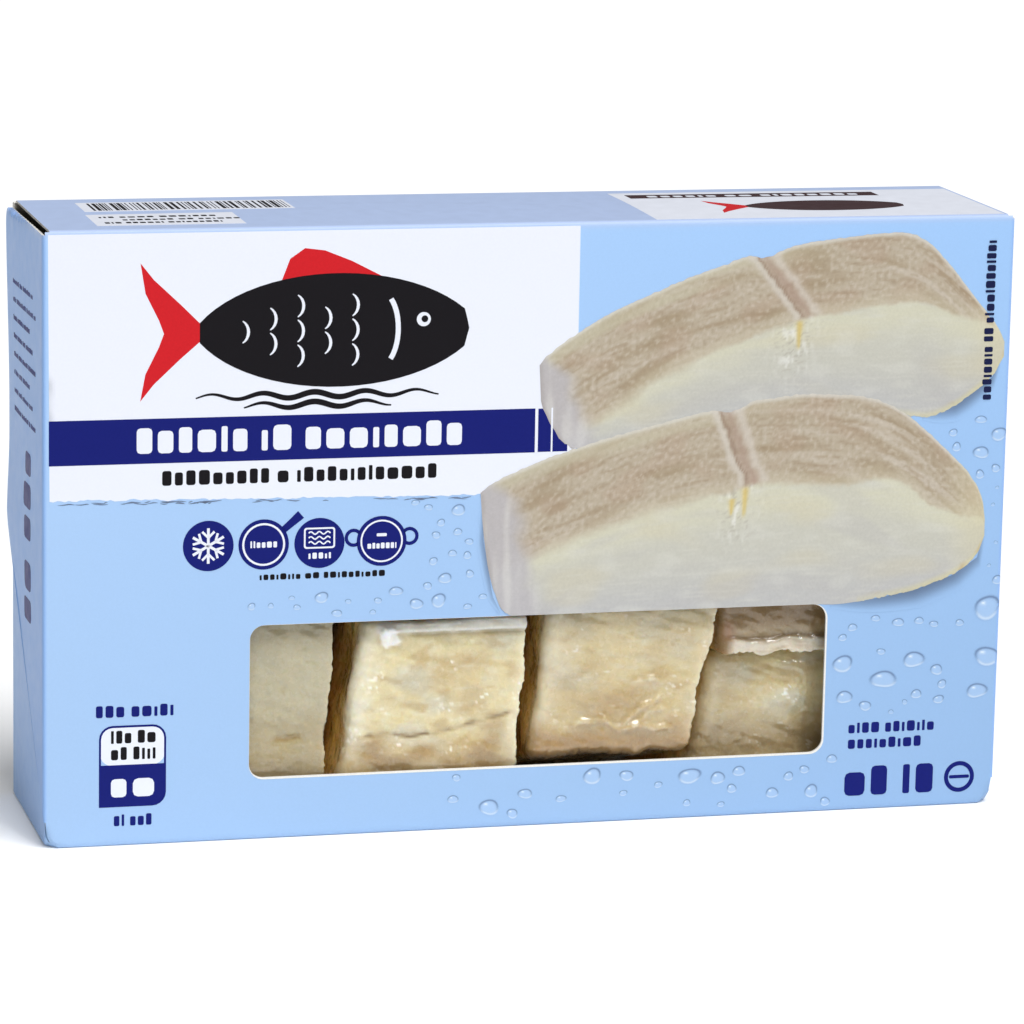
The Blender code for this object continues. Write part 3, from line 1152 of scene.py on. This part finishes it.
def box_lattice(counts):
    """The surface points of a unit box divided into cells, as shares, and its outward faces."""
    index, points, faces = {}, [], []

    def point(key):
        if key not in index:
            index[key] = len(points)
            points.append([k / n for k, n in zip(key, counts)])
        return index[key]

    for axis in range(3):
        u, v = (axis + 1) % 3, (axis + 2) % 3
        for side in (0, counts[axis]):
            for i in range(counts[u]):
                for j in range(counts[v]):
                    corners = []
                    for di, dj in ((0, 0), (1, 0), (1, 1), (0, 1)):
                        key = [0, 0, 0]
                        key[axis], key[u], key[v] = side, i + di, j + dj
                        corners.append(point(tuple(key)))
                    faces.append(corners if side else corners[::-1])
    return np.array(points), faces


def rounded_shares(shares, size, left, right, bottom, top_radius):
    """Shares of a block whose edges are rounded, more at its left than at its right."""
    size = np.asarray(size, float)
    points = shares * size
    face = mix(left, right, ramp(0.2, 0.8, shares[:, 0]))
    low = np.stack([np.full(len(points), left), face, np.full(len(points), bottom)], axis=1)
    high = np.stack([np.full(len(points), right), np.full(len(points), 4.0),
                     np.full(len(points), top_radius)], axis=1)
    core = np.clip(points, low, size - high)
    radii = np.where(points < core, low, high)
    out = (points - core) / radii
    length = np.linalg.norm(out, axis=1, keepdims=True)
    return (core + out / np.maximum(length, 1e-9) * radii * np.minimum(length * 10, 1)) / size


def normals_of(points, faces):
    quads = np.array(faces)
    p = points[quads]
    face_normals = np.cross(p[:, 2] - p[:, 0], p[:, 3] - p[:, 1])
    result = np.zeros_like(points)
    for i in range(4):
        np.add.at(result, quads[:, i], face_normals)
    return result / np.maximum(np.linalg.norm(result, axis=1, keepdims=True), 1e-12)


def groove(x, z, line, width, wander=0.0, seed=0.0):
    """A share of 1 on a line across the front face, falling off within the width."""
    line = np.array(line, float)
    middle = np.interp(x, line[:, 0], line[:, 1]) + wander * flat_lumps(x, z * 0, (5, 1), seed)
    ends = ramp(line[0, 0] - 1, line[0, 0] + 2, x) * (1 - ramp(line[-1, 0] - 2, line[-1, 0] + 1, x))
    return np.exp(-((z - middle) / width) ** 2) * ends, z - middle


def loin_form(left, right, bottom, top_z, set_back, narrowing, radii):
    """A cut loin's rounded block, between the same planes as its CAD node's cage."""
    shares, faces = box_lattice(COD_COUNTS)
    size = (right[0] - left[0], COD_BACK - COD_FRONT, top_z - bottom[0])
    across, deep, up = rounded_shares(shares, size, *radii).T
    x = mix(mix(left[0], left[1], up) + narrowing[0] * deep,
            mix(right[0], right[1], up) - narrowing[1] * deep, across)
    y = mix(COD_FRONT + mix(set_back[0], set_back[1], up), COD_BACK, deep)
    z = mix(mix(bottom[0], bottom[1], deep), top_z, up)
    points = np.stack([x, y, z], axis=1)
    return points, faces, shares


def on_front(shares):
    """How much a point belongs to the front face, and how near it is to its right-hand edge."""
    facing = 1 - ramp(0.02, 0.22, shares[:, 1])
    return facing, ramp(0.90, 1.0, shares[:, 0]) * facing


def on_side(shares):
    """Whether a point lies on the left-hand or right-hand face."""
    return (shares[:, 0] < 0.02) | (shares[:, 0] > 0.98)


def relief(points, faces, shares, seed):
    """Smooth swellings and shallow flakes, with ragged edges at the right and the bottom."""
    normals = normals_of(points, faces)
    _, edge = on_front(shares)
    smooth = 1 - 0.8 * on_side(shares) * ramp(0.02, 0.1, shares[:, 1])
    height = 0.8 * lumps(points, 17, seed) + 0.2 * lumps(points, 5.5, seed + 1)
    slanted = points @ np.array([[1, 0, 0.35], [0, 1, 0], [-0.35, 0, 1]])
    height += 0.17 * lumps(slanted, (10, 10, 2.4), seed + 3) * smooth
    chips = ramp(0.1, 0.9, lumps(points, 4.5, seed + 12))
    height += 0.22 * chips * lumps(points, 1.1, seed + 2) * smooth
    points = points + normals * height[:, None]
    tall = points * (0, 0, 1)
    ragged = 0.6 * lumps(tall, 7, seed + 4) + 0.2 * lumps(tall, 1.3, seed + 5)
    notches = 0.6 * ramp(0.45, 0.8, lumps(tall, 2.6, seed + 6))
    points[:, 0] += edge * (ragged + 0.14 * lumps(tall, 0.8, seed + 6) - notches)
    wide = points * (1, 0, 0)
    hem = (1 - ramp(0.0, 0.06, shares[:, 2])) * (1 - ramp(0.02, 0.3, shares[:, 1]))
    points[:, 2] += hem * (0.7 * lumps(wide, 5, seed + 7) + 0.35 * lumps(wide, 1.4, seed + 8))
    return points


def flesh_colours_and_painted_light(points, shares, seed):
    """Cream flesh with greyer and browner clouds, browner towards the bottom, with painted light and
    shade: a painted shadow under the window's upper edge, a painted highlight at the left front edge,
    painted glints among the frost flecks, and a painted golden glow on the side faces that turns to
    painted shade deeper into the carton.
    """
    facing, edge = on_front(shares)
    z = points[:, 2] - LOW[2]

    def clouds(size, step, low_share, high_share):
        return ramp(low_share, high_share, lumps(points, size, seed + step))

    low = 1 - ramp(17, 33, z + 3.5 * lumps(points, 9, seed + 13))
    left_edge_highlight = 1 - ramp(0.02, 0.17, shares[:, 0])
    frost_and_glint_flecks = clouds((1.5, 1.5, 0.9), 10, 0.4, 0.7) * clouds(6, 11, 0.15, 0.8)
    away = on_side(shares) * ramp(0.03, 0.16, shares[:, 1])
    return layered(
        (222, 209, 166),
        ((198, 178, 134), 0.75 * clouds((15, 15, 10), 6, -0.1, 0.8)),
        ((206, 203, 184), 0.6 * clouds((12, 12, 7), 7, 0.1, 0.8)),
        ((228, 225, 206), 0.35 * clouds((4.5, 4.5, 2), 8, 0.1, 0.8)),
        ((182, 154, 104), 0.45 * clouds((7, 7, 3), 9, 0.2, 0.9)),
        ((176, 150, 110), 0.55 * low),
        # Painted shadow: darker just under the window's upper edge, where the board shades the flesh
        ((182, 172, 140), 0.4 * ramp(52, 63, z)),
        # Painted highlight: a lighter band along the rounded left front edge
        ((234, 231, 214), 0.6 * facing * left_edge_highlight * (1 - low)),
        ((236, 231, 208), 0.6 * edge),
        # White flecks, partly frost and partly painted glints of the wet ice
        ((255, 254, 248), 0.85 * frost_and_glint_flecks * facing),
        # Painted light on the side faces: a golden glow near the front, turning to painted shade deeper
        # into the carton
        ((255, 220, 144), 0.95 * away),
        ((190, 134, 74), 0.8 * away * ramp(0.25, 0.8, shares[:, 1])),
    )


def flesh_material(name):
    """Frozen flesh under a thin wet glaze of ice."""
    nodes = Nodes(name)
    nodes.colour("tint", nodes.noise(2.4, 5.0, 0.6), 0.045)
    nodes.bump((nodes.noise(6.0, 2.0, 0.45), 0.7), (nodes.noise(2.0, 2.0, 0.5), 0.14))
    nodes.link(nodes.shader.inputs["Normal"].links[0].from_socket,
               nodes.shader.inputs["Coat Normal"])
    nodes.link(nodes.ranged(nodes.noise(2.2, 3.0), 0.35, 0.65, 0.16, 0.36),
               nodes.shader.inputs["Roughness"])
    nodes.set(Subsurface_Weight=0.75, Subsurface_Radius=(1.0, 0.68, 0.38), Subsurface_Scale=0.005,
              Coat_Weight=1.0, Coat_Roughness=0.05, Coat_IOR=1.45)
    return nodes.material


def add_loin(node, seed, change, **form):
    """One loin of cod, with its own changes, kept inside the carton's board."""
    points, faces, shares = loin_form(**form)
    points = relief(points, faces, shares, seed)
    colours = flesh_colours_and_painted_light(points, shares, seed)
    facing, _ = on_front(shares)
    points, colours = change(points, points[:, 0], points[:, 2], facing, colours)
    low_limit = LOW[2] + BOARD + 0.1
    points[:, 2] = np.maximum(points[:, 2], low_limit)
    points[:, 1] = np.clip(points[:, 1], LOW[1] + BOARD + 0.35, HIGH[1] - BOARD - 0.1)
    made = make_object(node + "_flesh", points, faces, [COD_LOOK], colours)
    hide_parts(node)


def change_first(points, x, z, facing, colours):
    """Greyer above and darker below, with a painted shadow along the top under the window's upper edge,
    and a short split low down with painted shade in it.
    """
    split, _ = groove(x, z, [(-77, 28.6), (-68, 29.2)], 0.9, 0.4, 2.0)
    points[:, 1] += 0.8 * split * facing
    return points, layered(
        colours,
        ((188, 185, 164), 0.75 * facing * ramp(28, 40, z)),
        ((168, 155, 122), 0.6 * facing * (1 - ramp(30, 42, z))),
        # Painted shadow: darker along the top, under the window's upper edge
        ((158, 150, 124), 0.6 * facing * ramp(52, 62, z)),
        ((146, 126, 96), 0.5 * facing * (1 - ramp(18, 26, z))),
        ((166, 154, 120), 0.35 * facing),
        # Painted shade in the split
        ((178, 146, 84), 0.75 * split * facing),
    )


def change_second(points, x, z, facing, colours):
    """A crease with painted shade in it and a painted highlight on its lower lip, above the browner
    belly, and the white rim of skin with a painted shadow line under it and a lump of frost.
    """
    crease, above = groove(x, z, [(-50, 28.2), (-43, 29.2), (-36, 27.8), (-30, 28.6), (-18, 30.4),
                                  (-5, 34.2)], 0.6, 0.5, 4.0)
    broken = 0.35 + 0.65 * ramp(-0.3, 0.2, lumps(points, (5, 20, 20), 6.3))
    points[:, 1] += facing * (0.8 * crease * broken + 0.5 * np.exp(-((above + 3) / 4) ** 2))
    belly = facing * ramp(0.5, -3.0, above) * ramp(-56, -46, x)
    belly *= ramp(-0.5, 0.5, lumps(points, (9, 9, 6), 8.0))
    rim = facing * ramp(58.9, 59.5, z + 0.4 * lumps(points, 4, 5.0)) * ramp(-47.5, -45.5, x)
    points[:, 1] -= 0.9 * rim
    line = facing * np.exp(-((z - 58.7) / 0.45) ** 2) * ramp(-38, -34, x)
    points[:, 1] += 0.5 * line
    from_frost = np.hypot((x + 42.6) / 3.3, (z - 57.8) / 3.0) + 0.3 * lumps(points, 2.6, 3.3)
    frost = facing * (1 - ramp(0.75, 1.1, from_frost))
    points[:, 1] -= 1.2 * frost + 0.5 * frost * lumps(points, 1.6, 3.3)
    return points, layered(
        colours,
        # Painted shade in the crease
        ((158, 128, 80), 0.7 * crease * facing * broken),
        # Painted highlight on the crease's lower lip
        ((232, 226, 202), 0.45 * facing * np.exp(-((above + 1.4) / 0.8) ** 2) * broken),
        ((174, 146, 102), 0.75 * belly),
        ((220, 219, 212), 0.9 * rim),
        # Painted shadow line under the rim of skin
        ((150, 136, 100), 0.65 * line),
        ((243, 244, 240), 0.95 * frost),
    )


def change_third(points, x, z, facing, colours):
    """Glossy ridges with painted highlights on them and painted shade around them, over a browner lower
    edge.
    """
    for line, depth in (([(13, 29.6), (19, 30.6), (26, 28.8), (38, 28.0), (44, 27.0)], 0.9),
                        ([(28, 29.6), (34, 33.6), (41, 38.4)], 0.9),
                        ([(30, 28.6), (36, 31.6), (42, 34.6)], 0.6),
                        ([(31, 43.5), (35, 42.0), (42, 41.4)], 0.5)):
        ridge, _ = groove(x, z, line, 1.1, 1.0, 6.0 + depth)
        points[:, 1] -= depth * ridge * facing
        bright = ridge * ramp(-0.2, 0.6, lumps(points, (2.0, 2.0, 1.2), 5.5))
        # Painted highlights on the ridges
        colours = blend(colours, (244, 240, 222), 0.8 * bright * facing)
    low = 1 - ramp(22, 31, z + 2.0 * lumps(points, 7, 3.0))
    shade = np.exp(-(((x - 27) / 15) ** 2 + ((z - 35) / 6) ** 2))
    return points, layered(
        colours,
        ((180, 158, 120), 0.25 * facing),
        ((166, 134, 92), 0.75 * facing * low),
        # Painted shade around the ridges
        ((172, 144, 100), 0.6 * facing * shade),
    )


def change_fourth(points, x, z, facing, colours):
    """Painted shade towards the loin in front of it, and browner at its foot."""
    return points, layered(
        colours,
        # Painted shade beside the loin that stands in front of it
        ((182, 164, 128), 0.45 * facing * (1 - ramp(62, 80, x))),
        ((176, 156, 118), 0.5 * facing * (1 - ramp(22, 34, z))),
    )


def change_fifth(points, x, z, facing, colours):
    """Brown flesh above a jagged pale edge of skin."""
    wavy = z + 0.7 * lumps(points, 5, 2.0)
    edge = facing * (1 - ramp(52.0, 53.2, wavy)) * ramp(60, 64, x)
    points[:, 1] -= 1.4 * edge
    streaks = ramp(0.1, 0.6, lumps(points, (9, 3, 0.9), 4.0))
    pale = facing * np.exp(-((z - 55.2) / 1.6) ** 2)
    wide = points * (1, 0, 0)
    points[:, 2] += edge * (0.9 * lumps(wide, 7, 1.0) + 0.16 * lumps(wide, 1.1, 2.0))
    red = np.exp(-(((x - 61.5) / 2.2) ** 2 + ((z - 55) / 3.0) ** 2))
    return points, layered(
        colours,
        ((146, 120, 84), 0.9 * facing),
        ((198, 182, 150), 0.6 * pale),
        ((222, 216, 200), 0.9 * edge),
        ((186, 170, 146), 0.5 * edge * streaks),
        ((164, 112, 84), 0.5 * facing * red),
    )


def add_cod():
    floor = LOW[2] + BOARD + 0.3
    add_loin("cod_1", 1.7, change_first, left=(-113, -111), right=(-62.8, -58.0),
             bottom=(floor, floor), top_z=66, set_back=(0, 0), narrowing=(0, 0),
             radii=(5.0, 0.9, 3.0, 5.0))
    add_loin("cod_2", 4.2, change_second, left=(-59.6, -49.8), right=(-5.0, -0.6),
             bottom=(floor, floor), top_z=63.5, set_back=(0, 0), narrowing=(-1, 2),
             radii=(3.2, 0.9, 3.0, 2.5))
    add_loin("cod_3", 8.9, change_third, left=(1.0, 6.2), right=(49.0, 58.6),
             bottom=(20.5, floor), top_z=66.5, set_back=(0, 0), narrowing=(-1.5, 12),
             radii=(3.2, 1.2, 2.2, 4.0))
    add_loin("cod_4", 12.4, change_fourth, left=(49.6, 58.6), right=(103.0, 104.0),
             bottom=(floor, floor), top_z=47.4, set_back=(6, 8), narrowing=(-8, 1),
             radii=(4.0, 4.0, 3.0, 4.5))
    add_loin("cod_5", 15.1, change_fifth, left=(59.6, 60.5), right=(105.0, 103.0),
             bottom=(47.7, 47.7), top_z=92, set_back=(2.5, 6), narrowing=(-7, 1),
             radii=(3.0, 3.0, 1.0, 5.0))


# ---- Stage

def add_camera():
    """A long lens a little to the left of the front and above it, as the pack is shown."""
    azimuth, elevation, roll = map(math.radians, CAMERA_ANGLES)
    back_way = Vector((math.sin(azimuth) * math.cos(elevation),
                       -math.cos(azimuth) * math.cos(elevation), math.sin(elevation)))
    right = (-back_way).cross(Vector((0, 0, 1))).normalized()
    up = right.cross(-back_way)
    tilted_right = right * math.cos(roll) + up * math.sin(roll)
    tilted_up = up * math.cos(roll) - right * math.sin(roll)
    target = Vector((CAMERA_ASIDE * WIDTH, LOW[1], HEIGHT / 2 + CAMERA_RAISED * WIDTH)) * MM
    placing = Matrix((tilted_right, tilted_up, back_way)).transposed().to_4x4()
    placing.translation = target + back_way * CAMERA_DISTANCE * WIDTH * MM
    data = bpy.data.cameras.new("camera")
    data.sensor_width = CAMERA_SENSOR
    data.lens = CAMERA_LENS
    camera = bpy.data.objects.new("camera", data)
    camera.matrix_world = placing
    bpy.context.scene.collection.objects.link(camera)
    bpy.context.scene.camera = camera


def add_sun(name, strength, spread, way):
    data = bpy.data.lights.new(name, "SUN")
    data.energy = strength
    data.angle = math.radians(spread)
    sun = bpy.data.objects.new(name, data)
    sun.rotation_mode = "QUATERNION"
    sun.rotation_quaternion = Vector(way).normalized().to_track_quat("Z", "Y")
    bpy.context.scene.collection.objects.link(sun)


def add_light():
    """A broad soft key from above, and a faint small one that makes the ice glint."""
    scene = bpy.context.scene
    scene.view_settings.view_transform = "Standard"
    scene.world = bpy.data.worlds.new("studio")
    scene.world.use_nodes = True
    sky = scene.world.node_tree.nodes["Background"]
    sky.inputs["Color"].default_value = (1.0, 1.0, 1.0, 1.0)
    sky.inputs["Strength"].default_value = 0.14
    add_sun("key", 3.05, 34, (0.13, -0.405, 0.905))
    add_sun("glint", 0.34, 2, (0.20, -0.80, 0.56))


def add_floor():
    """A plain pale floor, far wider than the pack."""
    nodes = Nodes("floor")
    nodes.colour((250, 250, 250), nodes.noise(400, 1.0), 0.004)
    nodes.set(Roughness=0.9, Emission_Color=(1, 1, 1, 1), Emission_Strength=0.08)
    mesh = bpy.data.meshes.new("floor")
    reach = FLOOR_REACH
    mesh.from_pydata([(-reach, -reach, 0), (reach, -reach, 0), (reach, reach, 0), (-reach, reach, 0)],
                     [], [(0, 1, 2, 3)])
    mesh.materials.append(nodes.material)
    floor = bpy.data.objects.new("floor", mesh)
    bpy.context.scene.collection.objects.link(floor)


add_camera()
add_light()
add_floor()
add_carton()
add_white_fields()
add_bands()
add_white_marks()
add_emblem()
add_red()
add_top_emblem()
add_window_rim()
add_brush_shadow()
add_side_note()
add_droplets()
add_picture_shadows()
loin_picture("print_back_loin", BACK_LOIN, 2.4, 3.0)
loin_picture("print_front_loin", FRONT_LOIN, 3.2, 20.0)
COD_LOOK = flesh_material("cod_flesh")
add_cod()
